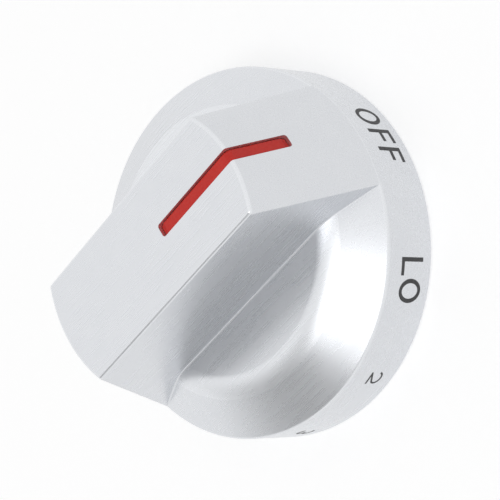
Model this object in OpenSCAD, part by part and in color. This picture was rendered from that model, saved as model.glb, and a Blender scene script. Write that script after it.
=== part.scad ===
// Control knob for a cooker: a round skirt with a broad grip bar moulded across its front.
// The bar runs from rim to rim. Its pointer end carries a red strip that bends over the crest.
// Millimetres. The back plane is z = 0, the shaft axis is Z, and the pointer end is +Y.

/* [Skirt] */
// Diameter of the front rim, where the side wall would meet the sloping front
rim_d = 50; // [46:0.5:56]
// How far the side wall leans out from the rim to the back edge
skirt_flare = 0.4; // [0.1:0.1:1.2]
// Height of the front rim above the back plane
rim_h = 9; // [7.5:0.5:12]
// Radius of the rounded front rim
rim_round = 0.5; // [0.2:0.1:0.8]
// Radius of the rounded back edge
back_round = 0.4; // [0.2:0.1:0.6]
// Thickness of the side wall
skirt_wall = 1.8; // [1.4:0.1:2.4]

/* [Front] */
// Diameter of the flat middle, where the slope would meet it
plateau_d = 36.2; // [33:0.2:40]
// Rise of the flat middle above the rim
plateau_rise = 3.6; // [2.4:0.1:5]
// Radius of the blend between the slope and the flat middle
plateau_blend = 7; // [3:0.5:9]
// Thickness of the front wall
front_wall = 2; // [1.5:0.1:2.6]

/* [Grip bar] */
// Width of the bar across its flat top
grip_top_w = 15.5; // [14:0.1:18]
// Lean of the bar's long sides, in degrees
side_draft = 2.65; // [1:0.05:4]
// Height of the bar above the flat middle
grip_rise = 13.8; // [11:0.1:17]
// Radius of the crest at the pointer end, about the shaft axis
crest_r = 17.8; // [16:0.1:20]
// Radius of the top edge at the other end, about the shaft axis
tail_r = 18.5; // [16:0.1:20]
// Radius of the rounded crest and tail edge
crest_round = 0.5; // [0.2:0.1:1]
// Radius of the rounded long edges of the top
top_edge_round = 0.35; // [0.2:0.05:0.8]
// Thickness of the bar's long sides
grip_wall = 1.9; // [1.4:0.1:2.2]
// Thickness of the bar's end walls, measured level
end_wall = 2.4; // [2:0.1:3]
// Thickness of the bar's top
grip_roof = 2.4; // [2:0.1:3]

/* [Hub] */
// Diameter of the hub
hub_d = 12.4; // [11.6:0.1:13]
// Height of the hub's mouth above the back plane
hub_recess = 1; // [0.5:0.1:3]
// Width of the solid link between the hub and the bar's sides
hub_link_w = 8; // [5:0.5:9]
// Diameter of the round stretch at the shaft hole's mouth
bore_d = 6.4; // [6.2:0.05:6.6]
// Diameter of the D-shaped stretch behind it, which grips the shaft
d_bore_d = 6.05; // [5.6:0.05:6.15]
// Distance from the shaft axis to the flat of the D
bore_flat = 1.6; // [1.3:0.05:2]
// Length of the fully round stretch at the mouth
round_len = 5; // [4:0.5:6]
// Length of the D-shaped stretch
d_len = 10.4; // [9.5:0.1:11]
// Depth of the lead-in chamfer at the mouth
bore_chamfer = 0.6; // [0.3:0.1:1]
// Diameter of the cored hole above the shaft's end
core_d = 4; // [3:0.5:5]
// Thickness left between the cored hole and the top face
core_roof = 3.4; // [3:0.1:5]

/* [Ribs] */
// Number of ribs between the hub and the side wall
rib_count = 4; // [3:1:8]
// Thickness of each rib
rib_t = 1.4; // [1:0.1:2]
// Height of the ribs' lower edges above the back plane
rib_recess = 2.5; // [1.5:0.5:4]

/* [Pointer] */
// Width of the channel for the pointer strip
channel_w = 1.9; // [1.6:0.05:3]
// Depth of the channel
channel_depth = 1.4; // [1:0.05:1.5]
// Distance from the shaft axis to the channel's start on the top
channel_start = 3.45; // [2:0.05:6]
// How far the channel runs down the end wall, measured along it
channel_drop = 9; // [6:0.1:12]
// Gap between the strip and the channel's walls
strip_gap = 0.04; // [0.02:0.01:0.1]
// How far the strip's face lies below the surface
strip_recess = 0.3; // [0.1:0.05:0.5]
// Width of the bevel along the strip's face
strip_bevel = 0.2; // [0.1:0.05:0.4]
// Width of the flat that crosses the strip at the crest
crest_flat = 0.9; // [0.4:0.1:1.4]
// Length of the low step at each end of the strip
step_len = 0.7; // [0.4:0.1:1.2]
// Height of that step below the strip's face
step_drop = 0.35; // [0.2:0.05:0.5]
// Diameter of the strip's two pegs
peg_d = 1.2; // [0.8:0.1:1.4]
// Gap round each peg in its hole
peg_gap = 0.05; // [0.03:0.01:0.1]
// Distance of the first peg from the shaft axis
peg_y = 8; // [7.7:0.1:9]
// Distance between the two pegs
peg_pitch = 5; // [4:0.1:5.5]
// Diameter of the staked head on each peg
peg_head_d = 2.2; // [1.8:0.1:3]
// Thickness of the staked head
peg_head_t = 0.6; // [0.4:0.1:0.8]

/* [Shaft spring] */
// Thickness of the spring strip
spring_t = 0.3; // [0.2:0.05:0.4]
// Width of the spring
spring_w = 3.8; // [3:0.1:4.2]
// Length of the spring without its bend
spring_len = 8; // [6:0.1:8.4]
// Gap between the spring and the sides of its pocket
spring_gap = 0.15; // [0.05:0.05:0.3]
// How far the bowed leaf stands past the flat of the D
spring_reach = 0.15; // [0.05:0.05:0.3]
// Height of the bow in the leaf
spring_bow = 0.45; // [0.3:0.05:0.6]
// Outer radius of the spring's bend
spring_bend = 0.6; // [0.5:0.05:0.8]

/* [Hidden] */
$fn = 128;
overshoot = 1;
// Slight angle, in degrees, that every rounding leaves against the faces it joins
round_meet = 5;

// Heights and radii of the outer form
rim_r = rim_d / 2;
plateau_r = plateau_d / 2;
back_r = rim_r + skirt_flare;
floor_z = rim_h + plateau_rise;
top_z = floor_z + grip_rise;
front_slope = atan(plateau_rise / (rim_r - plateau_r));
grip_foot_z = rim_h - skirt_wall;

// Inside corner where the side wall's inner face meets the front's inner face
flare_rate = skirt_flare / rim_h;
slope_rate = tan(front_slope);
inner_side_r = back_r - skirt_wall;
inner_front_z = floor_z + plateau_r * slope_rate - front_wall / cos(front_slope);
corner_r = (inner_side_r - flare_rate * inner_front_z) / (1 - flare_rate * slope_rate);
corner_z = inner_front_z - slope_rate * corner_r;
ceiling_z = floor_z - front_wall;
roof_z = top_z - grip_roof;

// Heights along the shaft hole
bore_r = bore_d / 2;
d_bore_r = d_bore_d / 2;
round_z = hub_recess + bore_chamfer;
d_z = round_z + round_len;
shaft_end_z = d_z + d_len;
core_z = top_z - core_roof;

// The pocket for the spring opens through the flat of the D
spring_fold = spring_bow - spring_reach + 2 * spring_bend;
pocket_y = bore_flat + spring_fold;
pocket_w = spring_w + 2 * spring_gap;
pocket_len = spring_len + spring_bend + 2 * spring_gap;
pocket_z = d_z + (d_len - pocket_len) / 2;

// Radius of the bar's end face at height z, when its top edge has radius top_r
function end_r(top_r, z) = rim_r + (top_r - rim_r) * (z - rim_h) / (top_z - rim_h);
// Half the width of the bar at height z
function grip_half_w(z) = grip_top_w / 2 + (top_z - z) * tan(side_draft);
// Unit vector along v
function unit(v) = v / norm(v);
// Angle at corner p between the directions of a and b
function corner_angle(p, a, b) = acos(unit(a - p) * unit(b - p));
// Distance from corner p to the foot of a rounding of radius r
function round_reach(p, a, b, r) = r * cos(round_meet) / tan(corner_angle(p, a, b) / 2);
// Centre of the rounding of radius r at corner p
function round_centre(p, a, b, r) =
    p + unit(unit(a - p) + unit(b - p)) * r * cos(round_meet) / sin(corner_angle(p, a, b) / 2);
// Point where the line through p along u meets the line through q along v
function meet(p, u, q, v) =
    p + u * ((q[0] - p[0]) * v[1] - (q[1] - p[1]) * v[0]) / (u[0] * v[1] - u[1] * v[0]);

// The pointer strip's side view is drawn in Y and Z on the bar's centre plane
crest = [crest_r, top_z];
end_along = unit([rim_r - crest_r, rim_h - top_z]);
end_out = [-end_along[1], end_along[0]];
channel_foot = crest + end_along * channel_drop;
channel_corner = crest_line(channel_depth);
strip_corner = crest_line(strip_recess);
crest_half_angle = corner_angle(crest, [0, top_z], channel_foot) / 2;
crest_trim = crest_flat / (2 * sin(crest_half_angle));

// Point on the crest's mitre plane at the given depth below both faces
function crest_line(depth) = meet([0, top_z - depth], [1, 0], crest - end_out * depth, end_along);

// What a rounding of radius r takes off the corner p of an outline, with a margin outside it
module corner_waste(p, a, b, r) {
    reach = round_reach(p, a, b, r);
    centre = round_centre(p, a, b, r);
    grow = 1.2;
    difference() {
        polygon([
            centre,
            centre + (p + unit(a - p) * reach - centre) * grow,
            centre + (p - centre) * grow,
            centre + (p + unit(b - p) * reach - centre) * grow
        ]);
        translate(centre) circle(r);
    }
}

// Stands an outline drawn in Y and Z up, and gives it the width w across the bar
module across(w) {
    rotate([90, 0, 90]) linear_extrude(height = w, center = true) children();
}

// Stands an outline drawn in X and Z up, and runs it along the whole knob
module along_bar() {
    rotate([90, 0, 0]) linear_extrude(height = 3 * rim_r, center = true) children();
}

// Keeps what lies on the pointer's side of the shaft axis, with a small overlap
module pointer_half() {
    intersection() {
        children();
        translate([-2 * rim_r, -overshoot, 0]) cube([4 * rim_r, 2 * rim_r, 2 * top_z]);
    }
}

// Skirt and front face as one turned solid
module dial() {
    back_edge = [back_r, 0];
    rim = [rim_r, rim_h];
    knee = [plateau_r, floor_z];
    centre = [0, floor_z];
    rotate_extrude() difference() {
        polygon([[0, 0], back_edge, rim, knee, centre]);
        corner_waste(back_edge, [0, 0], rim, back_round);
        corner_waste(rim, back_edge, knee, rim_round);
        corner_waste(knee, rim, centre, plateau_blend);
    }
}

// Turned envelope of the bar: its end faces are cones about the shaft axis
module end_envelope(top_r) {
    foot = [back_r - flare_rate * grip_foot_z, grip_foot_z];
    rim = [rim_r, rim_h];
    top = [top_r, top_z];
    rotate_extrude() difference() {
        polygon([[0, grip_foot_z], foot, rim, top, [0, top_z]]);
        corner_waste(rim, foot, top, rim_round);
        corner_waste(top, rim, [0, top_z], crest_round);
    }
}

// Section of the bar across its length, with its long top edges rounded
module grip_section() {
    foot_half = grip_half_w(grip_foot_z);
    left_top = [-grip_top_w / 2, top_z];
    right_top = [grip_top_w / 2, top_z];
    left_foot = [-foot_half, grip_foot_z];
    right_foot = [foot_half, grip_foot_z];
    difference() {
        polygon([left_foot, right_foot, right_top, left_top]);
        corner_waste(left_top, left_foot, right_top, top_edge_round);
        corner_waste(right_top, right_foot, left_top, top_edge_round);
    }
}

// One end of the bar, out to its conical end face
module grip_end(top_r) {
    pointer_half() intersection() {
        end_envelope(top_r);
        along_bar() grip_section();
    }
}

module outer_form() {
    union() {
        dial();
        grip_end(crest_r);
        rotate([0, 0, 180]) grip_end(tail_r);
    }
}

// Hollow under the front face
module dial_hollow() {
    rotate_extrude() polygon([
        [0, -overshoot],
        [inner_side_r + flare_rate * overshoot, -overshoot],
        [corner_r, corner_z],
        [plateau_r - front_wall * tan(front_slope / 2), ceiling_z],
        [0, ceiling_z]
    ]);
}

// Hollow inside one end of the bar
module grip_hollow_end(top_r) {
    foot_half = grip_half_w(corner_z) - grip_wall;
    roof_half = grip_half_w(roof_z) - grip_wall;
    pointer_half() intersection() {
        rotate_extrude() polygon([
            [0, corner_z],
            [corner_r, corner_z],
            [end_r(top_r, rim_h) - end_wall, rim_h],
            [end_r(top_r, roof_z) - end_wall, roof_z],
            [0, roof_z]
        ]);
        along_bar() polygon([
            [-foot_half, corner_z],
            [foot_half, corner_z],
            [roof_half, roof_z],
            [-roof_half, roof_z]
        ]);
    }
}

module hollow() {
    union() {
        dial_hollow();
        grip_hollow_end(crest_r);
        rotate([0, 0, 180]) grip_hollow_end(tail_r);
    }
}

// Hub, with a solid link to both long sides of the bar
module hub() {
    hub_top = top_z - grip_roof / 2;
    link_half = grip_half_w(roof_z) - grip_wall / 2;
    union() {
        translate([0, 0, hub_recess]) cylinder(d = hub_d, h = hub_top - hub_recess);
        translate([-link_half, -hub_link_w / 2, ceiling_z - overshoot])
            cube([2 * link_half, hub_link_w, hub_top - ceiling_z + overshoot]);
    }
}

// One rib, from inside the hub into the side wall and the front wall
module rib() {
    rotate([90, 0, 0]) linear_extrude(height = rib_t, center = true) polygon([
        [hub_d / 2 - overshoot, rib_recess],
        [inner_side_r - flare_rate * rib_recess + skirt_wall / 2, rib_recess],
        [corner_r + skirt_wall / 2, corner_z],
        [corner_r, corner_z + front_wall / 2],
        [plateau_r, ceiling_z + front_wall / 2],
        [hub_d / 2 - overshoot, ceiling_z + front_wall / 2]
    ]);
}

module ribs() {
    for (i = [0 : rib_count - 1])
        rotate([0, 0, (i + 0.5) * 360 / rib_count]) rib();
}

// Shaft hole: chamfer, round stretch, D stretch, and the cored hole above them
module shaft_hole() {
    union() {
        translate([0, 0, hub_recess - overshoot])
            cylinder(r = bore_r, h = d_z - hub_recess + overshoot);
        translate([0, 0, hub_recess])
            cylinder(r1 = bore_r + bore_chamfer, r2 = bore_r, h = bore_chamfer);
        difference() {
            translate([0, 0, d_z - overshoot])
                cylinder(r = d_bore_r, h = d_len + overshoot);
            translate([-bore_d, bore_flat, d_z])
                cube([2 * bore_d, bore_d, d_len + overshoot]);
        }
        translate([0, 0, shaft_end_z - overshoot])
            cylinder(d = core_d, h = core_z - shaft_end_z + overshoot);
    }
}

// Pocket beside the flat of the D, where the spring snaps in
module spring_pocket() {
    translate([-pocket_w / 2, 0, pocket_z])
        cube([pocket_w, pocket_y, pocket_len]);
}

// Channel for the pointer strip, along the top, over the crest and down the end wall
module channel() {
    across(channel_w) polygon([
        [channel_start, top_z + overshoot],
        [channel_start, top_z - channel_depth],
        channel_corner,
        channel_foot - end_out * channel_depth,
        channel_foot + end_out * overshoot,
        crest + (end_out + [0, 1]) * overshoot
    ]);
}

// Places its children at each of the strip's pegs
module at_pegs() {
    for (i = [0 : 1])
        translate([0, peg_y + i * peg_pitch, 0]) children();
}

module peg_holes() {
    at_pegs() translate([0, 0, roof_z - overshoot])
        cylinder(d = peg_d + 2 * peg_gap, h = grip_roof - channel_depth + 2 * overshoot);
}

// The moulded knob: skirt, front and bar in one shell, with the hub and ribs inside
module knob_body() {
    color("silver") difference() {
        union() {
            difference() {
                outer_form();
                hollow();
            }
            hub();
            ribs();
        }
        shaft_hole();
        spring_pocket();
        channel();
        peg_holes();
    }
}

// Section of the strip with both edges of its face bevelled, its face at height 0
module strip_section() {
    half = channel_w / 2 - strip_gap;
    thick = channel_depth - strip_recess;
    polygon([
        [-half, -thick - overshoot],
        [half, -thick - overshoot],
        [half, -strip_bevel],
        [half - strip_bevel, 0],
        [strip_bevel - half, 0],
        [-half, -strip_bevel]
    ]);
}

// The strip's leg along the top, up to the crest's mitre plane
module top_leg() {
    start = channel_start + strip_gap;
    floor_h = top_z - channel_depth;
    face_h = top_z - strip_recess;
    intersection() {
        across(channel_w) polygon([
            [start, floor_h],
            channel_corner,
            strip_corner - mitre_step(),
            [strip_corner[0] - crest_trim, face_h],
            [start + step_len, face_h],
            [start + step_len, face_h - step_drop],
            [start, face_h - step_drop]
        ]);
        translate([0, 0, face_h]) along_bar() strip_section();
    }
}

// The strip's leg down the end wall, from the crest's mitre plane
module end_leg() {
    foot_floor = channel_foot - end_out * channel_depth - end_along * strip_gap;
    foot_step = foot_floor + end_out * (channel_depth - strip_recess - step_drop);
    shoulder_low = foot_step - end_along * step_len;
    shoulder_top = shoulder_low + end_out * step_drop;
    lean = atan2(end_along[1], end_along[0]);
    intersection() {
        across(channel_w) polygon([
            channel_corner,
            foot_floor,
            foot_step,
            shoulder_low,
            shoulder_top,
            strip_corner + end_along * crest_trim,
            strip_corner - mitre_step()
        ]);
        translate([0, strip_corner[0], strip_corner[1]])
            rotate([lean, 0, 0]) along_bar() strip_section();
    }
}

// From the strip's sharp crest corner in to the middle of its crest flat
function mitre_step() =
    unit(strip_corner - channel_corner) * crest_trim * cos(crest_half_angle);

// One peg with its staked head, which holds the strip against the channel's floor
module peg() {
    shank = grip_roof - channel_depth;
    rotate_extrude() polygon([
        [0, 0],
        [peg_head_d / 2 - peg_head_t / 2, 0],
        [peg_head_d / 2, peg_head_t / 2],
        [peg_head_d / 2, peg_head_t],
        [peg_d / 2, peg_head_t],
        [peg_d / 2, peg_head_t + shank + strip_bevel],
        [0, peg_head_t + shank + strip_bevel]
    ]);
}

// The red pointer strip, bent over the crest, with its two staked pegs
module pointer_insert() {
    color("crimson") union() {
        top_leg();
        end_leg();
        at_pegs() translate([0, 0, roof_z - peg_head_t]) peg();
    }
}

// A ring of the spring's thickness, by its outer radius
module spring_ring(r) {
    difference() {
        circle(r);
        circle(r - spring_t);
    }
}

// The folded leaf that presses the shaft's flat away from its pocket
module shaft_spring() {
    leaf_r = (spring_len * spring_len / 4 + spring_bow * spring_bow) / (2 * spring_bow);
    leaf_y = bore_flat - spring_reach;
    start_z = pocket_z + spring_gap;
    end_z = start_z + spring_len;
    color("lightslategray") across(spring_w) union() {
        translate([pocket_y - spring_t, start_z]) square([spring_t, spring_len]);
        intersection() {
            translate([leaf_y + leaf_r, start_z + spring_len / 2]) spring_ring(leaf_r);
            translate([leaf_y - spring_t, start_z])
                square([spring_bow + 2 * spring_t, spring_len]);
        }
        intersection() {
            translate([pocket_y - spring_bend, end_z]) spring_ring(spring_bend);
            translate([pocket_y - 2 * spring_bend, end_z])
                square([2 * spring_bend, spring_bend]);
        }
    }
}

knob_body();
pointer_insert();
shaft_spring();
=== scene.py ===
"""Visual model of a cooker's control knob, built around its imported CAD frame.

The knob lies on its back on a white table. +Z is the shaft axis, towards the user, and +Y
is the pointer's end of the grip bar. Sizes are in millimetres, and meshes in metres.
"""

import logging
import math
from dataclasses import dataclass, field
from enum import Enum

import bmesh
import bpy
import numpy as np
from mathutils import Matrix, Vector


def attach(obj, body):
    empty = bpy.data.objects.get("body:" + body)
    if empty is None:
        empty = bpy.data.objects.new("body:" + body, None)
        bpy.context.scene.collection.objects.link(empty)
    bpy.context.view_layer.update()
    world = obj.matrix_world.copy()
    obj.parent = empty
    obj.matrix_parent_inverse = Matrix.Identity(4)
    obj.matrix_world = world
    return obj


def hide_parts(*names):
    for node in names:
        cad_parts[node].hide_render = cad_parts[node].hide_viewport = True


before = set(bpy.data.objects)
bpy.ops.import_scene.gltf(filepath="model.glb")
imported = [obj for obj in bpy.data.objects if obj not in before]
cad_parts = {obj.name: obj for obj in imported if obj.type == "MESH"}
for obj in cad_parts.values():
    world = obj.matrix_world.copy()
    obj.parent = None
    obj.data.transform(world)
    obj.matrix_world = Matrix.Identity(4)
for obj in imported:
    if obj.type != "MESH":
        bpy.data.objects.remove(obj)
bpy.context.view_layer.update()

LOG = logging.getLogger("stove_knob")
MM = 0.001
BODY = "root"
NORMAL_LAYER = "surface_normal"
INNER_LAYER = "inner_face"
HIGHLIGHT_LAYER = "painted_edge_highlight"

Pair = tuple[float, float]
Triple = tuple[float, float, float]


class Joining(Enum):
    """How a form meets the one it is combined with."""

    ADD = "UNION"
    CUT = "DIFFERENCE"


class Slot(Enum):
    """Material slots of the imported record."""

    SILVER = "silver_shell"
    RED = "red_pointer"
    STEEL = "spring_steel"


# ---- outlines and closed forms ----


@dataclass
class Stroke:
    """One smooth stretch of an outline, with the outward normal at each of its points."""

    points: np.ndarray
    normals: np.ndarray
    rounding: bool = False


def rounded_outline(corners: list[Pair], radii: list[float], steps: int = 8) -> list[Stroke]:
    """Rounds the inner corners of an open outline that keeps its material on its left.

    Args:
        corners: Points of the outline, in order.
        radii: Radius of the rounding at each corner, 0 for a sharp one.
        steps: Chords in each rounding.

    Returns:
        The outline as straight strokes and arcs, end to end.
    """
    p = [np.array(c, float) for c in corners]
    strokes: list[Stroke] = []
    start = p[0]
    for i in range(1, len(p)):
        along = (p[i] - p[i - 1]) / np.linalg.norm(p[i] - p[i - 1])
        out = np.array([along[1], -along[0]])
        radius = radii[i] if 0 < i < len(p) - 1 else 0.0
        if radius <= 0:
            strokes.append(Stroke(np.array([start, p[i]]), np.array([out, out])))
            start = p[i]
            continue
        after = (p[i + 1] - p[i]) / np.linalg.norm(p[i + 1] - p[i])
        turn = math.atan2(along[0] * after[1] - along[1] * after[0], float(along @ after))
        reach = radius * math.tan(abs(turn) / 2)
        side = 1.0 if turn > 0 else -1.0
        foot = p[i] - along * reach
        centre = foot - out * radius * side
        strokes.append(Stroke(np.array([start, foot]), np.array([out, out])))
        base = math.atan2(out[1], out[0])
        angles = base + turn * np.linspace(0, 1, steps + 1)
        normals = np.stack([np.cos(angles), np.sin(angles)], 1)
        strokes.append(Stroke(centre + side * radius * normals, normals, True))
        start = p[i] + after * reach
    return strokes


@dataclass
class Form:
    """A closed mesh in millimetres, with its surface's own normal and a weight of painted edge highlight at every face
    corner.
    """

    points: list = field(default_factory=list)
    faces: list = field(default_factory=list)
    normals: list = field(default_factory=list)
    highlight_weight: list = field(default_factory=list)
    inner: bool = False

    def add_face(self, corners: list[int], normals: list, highlight_weight: float = 0.0) -> None:
        """Adds one face with the normal at each of its corners, and how much painted highlight its corners get."""
        self.faces.append(tuple(int(c) for c in corners))
        self.normals.extend(normals)
        self.highlight_weight.extend([highlight_weight] * len(corners))

    def moved(self, matrix: Matrix) -> "Form":
        """Returns the form in another place. The matrix only turns and shifts."""
        turn = np.array(matrix.to_3x3())
        shift = np.array(matrix.translation)
        return Form(
            [turn @ np.asarray(p, float) + shift for p in self.points],
            list(self.faces),
            [turn @ np.asarray(n, float) for n in self.normals],
            list(self.highlight_weight),
            self.inner,
        )

    def to_object(self, name: str) -> bpy.types.Object:
        """Makes a mesh object whose corners carry the normals, the painted highlight weight and the inside flag as
        attributes.
        """
        mesh = bpy.data.meshes.new(name)
        mesh.from_pydata((np.array(self.points, float) * MM).tolist(), [], self.faces)
        layer = mesh.attributes.new(NORMAL_LAYER, "FLOAT_VECTOR", "CORNER")
        layer.data.foreach_set("vector", np.array(self.normals, np.float32).ravel())
        # weight of the painted highlight: the silver finish lightens the colour of the roundings there
        highlight_weight = mesh.attributes.new(HIGHLIGHT_LAYER, "FLOAT", "CORNER")
        highlight_weight.data.foreach_set("value", np.array(self.highlight_weight, np.float32))
        inner = mesh.attributes.new(INNER_LAYER, "FLOAT", "CORNER")
        inner.data.foreach_set("value", np.full(len(mesh.loops), float(self.inner), np.float32))
        made = bpy.data.objects.new(name, mesh)
        bpy.context.scene.collection.objects.link(made)
        return made


def turned_form(strokes: list[Stroke], segments: int, inner: bool = False) -> Form:
    """Turns an outline about the Z axis.

    Args:
        strokes: The outline in radius and height, from the axis and back to the axis.
        segments: Number of steps round the axis.
        inner: Whether the surface belongs to the hidden inside.

    Returns:
        A closed form.
    """
    form = Form(inner=inner)
    angles = np.linspace(0, 2 * math.pi, segments, endpoint=False)
    cos, sin = np.cos(angles), np.sin(angles)

    def ring(point: np.ndarray) -> list[int]:
        """Adds a ring of points, or one point on the axis."""
        first = len(form.points)
        if point[0] < 1e-6:
            form.points.append((0.0, 0.0, point[1]))
            return [first] * segments
        form.points.extend(zip(point[0] * cos, point[0] * sin, np.full(segments, point[1])))
        return list(range(first, first + segments))

    low = ring(strokes[0].points[0])
    for stroke in strokes:
        for k in range(1, len(stroke.points)):
            high = ring(stroke.points[k])
            (ar, az), (br, bz) = stroke.normals[k - 1], stroke.normals[k]
            for i in range(segments):
                j = (i + 1) % segments
                quad = [
                    (low[i], (ar * cos[i], ar * sin[i], az)),
                    (low[j], (ar * cos[j], ar * sin[j], az)),
                    (high[j], (br * cos[j], br * sin[j], bz)),
                    (high[i], (br * cos[i], br * sin[i], bz)),
                ]
                if low[i] == low[j]:
                    quad.pop(0)
                if high[i] == high[j]:
                    quad.pop()
                # roundings get weight 1 for the painted edge highlight
                form.add_face([q[0] for q in quad], [q[1] for q in quad], float(stroke.rounding))
            low = high
    return form


def drum_profile(radius: float, low: float, high: float) -> list[Stroke]:
    """Outline of a plain round drum."""
    return rounded_outline([(0, low), (radius, low), (radius, high), (0, high)], [0] * 4)


def prism_form(outline: list[Pair], low: float, high: float, inner: bool = False) -> Form:
    """Raises a counter-clockwise outline from one height to another, with flat faces."""
    form = Form(inner=inner)
    n = len(outline)
    form.points = [(x, y, low) for x, y in outline] + [(x, y, high) for x, y in outline]
    for i in range(n):
        j = (i + 1) % n
        dx, dy = outline[j][0] - outline[i][0], outline[j][1] - outline[i][1]
        size = math.hypot(dx, dy)
        form.add_face([i, j, n + j, n + i], [(dy / size, -dx / size, 0.0)] * 4)
    form.add_face(list(range(n - 1, -1, -1)), [(0.0, 0.0, -1.0)] * n)
    form.add_face(list(range(n, 2 * n)), [(0.0, 0.0, 1.0)] * n)
    return form


def rounded_box_outline(x: Pair, y: Pair, radius: float, steps: int = 6) -> list[Pair]:
    """Outline of a rectangle with rounded corners, counter-clockwise."""
    outline: list[Pair] = []
    for k, (cx, cy) in enumerate(
        [
            (x[1] - radius, y[0] + radius),
            (x[1] - radius, y[1] - radius),
            (x[0] + radius, y[1] - radius),
            (x[0] + radius, y[0] + radius),
        ]
    ):
        for a in np.linspace(-90 + 90 * k, 90 * k, steps + 1):
            outline.append((cx + radius * math.cos(math.radians(a)), cy + radius * math.sin(math.radians(a))))
    return outline


def combined(base: bpy.types.Object, parts: list[tuple[Joining, bpy.types.Object]]) -> bpy.types.Mesh:
    """Joins and cuts closed meshes in order.

    Args:
        base: The object to start from.
        parts: How each further object is joined, and the object. All are removed.

    Returns:
        The resulting mesh.
    """
    for joining, part in parts:
        step = base.modifiers.new(part.name, "BOOLEAN")
        step.operation = joining.value
        step.solver = "MANIFOLD"
        step.object = part
    graph = bpy.context.evaluated_depsgraph_get()
    graph.update()
    mesh = bpy.data.meshes.new_from_object(base.evaluated_get(graph))
    for used in [base] + [part for _, part in parts]:
        bpy.data.objects.remove(used)
    return mesh


def read_layer(mesh: bpy.types.Mesh, name: str, width: int) -> np.ndarray:
    """Reads a corner attribute as an array."""
    layer = mesh.attributes[name]
    values = np.zeros(len(mesh.loops) * width, np.float32)
    layer.data.foreach_get("vector" if width == 3 else "value", values)
    return values.reshape(-1, width) if width > 1 else values


def apply_surface_normals(mesh: bpy.types.Mesh) -> None:
    """Sets each corner's shading normal to the normal of the surface it was cut from."""
    normals = read_layer(mesh, NORMAL_LAYER, 3).astype(float)
    flat = np.zeros(len(mesh.polygons) * 3, np.float32)
    mesh.polygon_normals.foreach_get("vector", flat)
    totals = np.zeros(len(mesh.polygons), np.int32)
    mesh.polygons.foreach_get("loop_total", totals)
    faces = np.repeat(flat.reshape(-1, 3), totals, axis=0).astype(float)
    agreement = (faces * normals).sum(1)
    normals[agreement < 0] *= -1
    sizes = np.linalg.norm(normals, axis=1)
    stray = (np.abs(agreement) < 0.3) | (sizes < 0.5)
    normals[stray] = faces[stray]
    normals /= np.maximum(np.linalg.norm(normals, axis=1), 1e-9)[:, None]
    mesh.polygons.foreach_set("use_smooth", np.ones(len(mesh.polygons), bool))
    mesh.normals_split_custom_set(normals.tolist())


# ---- the moulded shell ----


@dataclass
class Dial:
    """Skirt and front face, as one turned form."""

    rim_r: float = 25.0
    rim_h: float = 9.0
    flare: float = 0.4
    rim_round: float = 0.5
    back_round: float = 0.4
    plateau_r: float = 18.1
    plateau_z: float = 12.6
    plateau_blend: float = 7.0
    skirt_wall: float = 1.8
    front_wall: float = 2.0
    segments: int = 360

    def front_strokes(self) -> list[Stroke]:
        """Outline from the middle of the back, round the skirt and up to the middle."""
        corners = [
            (0.0, 0.0),
            (self.rim_r + self.flare, 0.0),
            (self.rim_r, self.rim_h),
            (self.plateau_r, self.plateau_z),
            (0.0, self.plateau_z),
        ]
        return rounded_outline(corners, [0, self.back_round, self.rim_round, self.plateau_blend, 0], 14)

    def outer(self) -> Form:
        """The solid form, before it is hollowed."""
        return turned_form(self.front_strokes(), self.segments)

    def surface(self, radius: float) -> tuple[float, Pair]:
        """Height and normal, in radius and height, of the front at a radius."""
        for stroke in self.front_strokes()[2:]:
            r = stroke.points[:, 0]
            if r.min() - 1e-9 <= radius <= r.max() + 1e-9 and r.max() - r.min() > 1e-6:
                order = np.argsort(r)
                z = float(np.interp(radius, r[order], stroke.points[order, 1]))
                nr = float(np.interp(radius, r[order], stroke.normals[order, 0]))
                nz = float(np.interp(radius, r[order], stroke.normals[order, 1]))
                size = math.hypot(nr, nz)
                return z, (nr / size, nz / size)
        return self.plateau_z, (0.0, 1.0)

    def skirt_radius(self, z: float) -> float:
        """Radius of the skirt's outer face at a height."""
        return self.rim_r + self.flare * (self.rim_h - z) / self.rim_h

    def hollow(self) -> Form:
        """The space under the front face."""
        slope = (self.plateau_z - self.rim_h) / (self.rim_r - self.plateau_r)
        side_r = self.rim_r + self.flare - self.skirt_wall
        rate = self.flare / self.rim_h
        front_z = self.plateau_z + self.plateau_r * slope - self.front_wall * math.hypot(1, slope)
        corner_r = (side_r - rate * front_z) / (1 - rate * slope)
        corner_z = front_z - slope * corner_r
        ceiling = self.plateau_z - self.front_wall
        knee_r = self.plateau_r - self.front_wall * math.tan(math.atan(slope) / 2)
        corners = [(0.0, -1.0), (side_r + rate, -1.0), (corner_r, corner_z), (knee_r, ceiling), (0.0, ceiling)]
        return turned_form(rounded_outline(corners, [0, 0, 0.5, 5.0, 0]), self.segments // 2, True)


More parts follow.
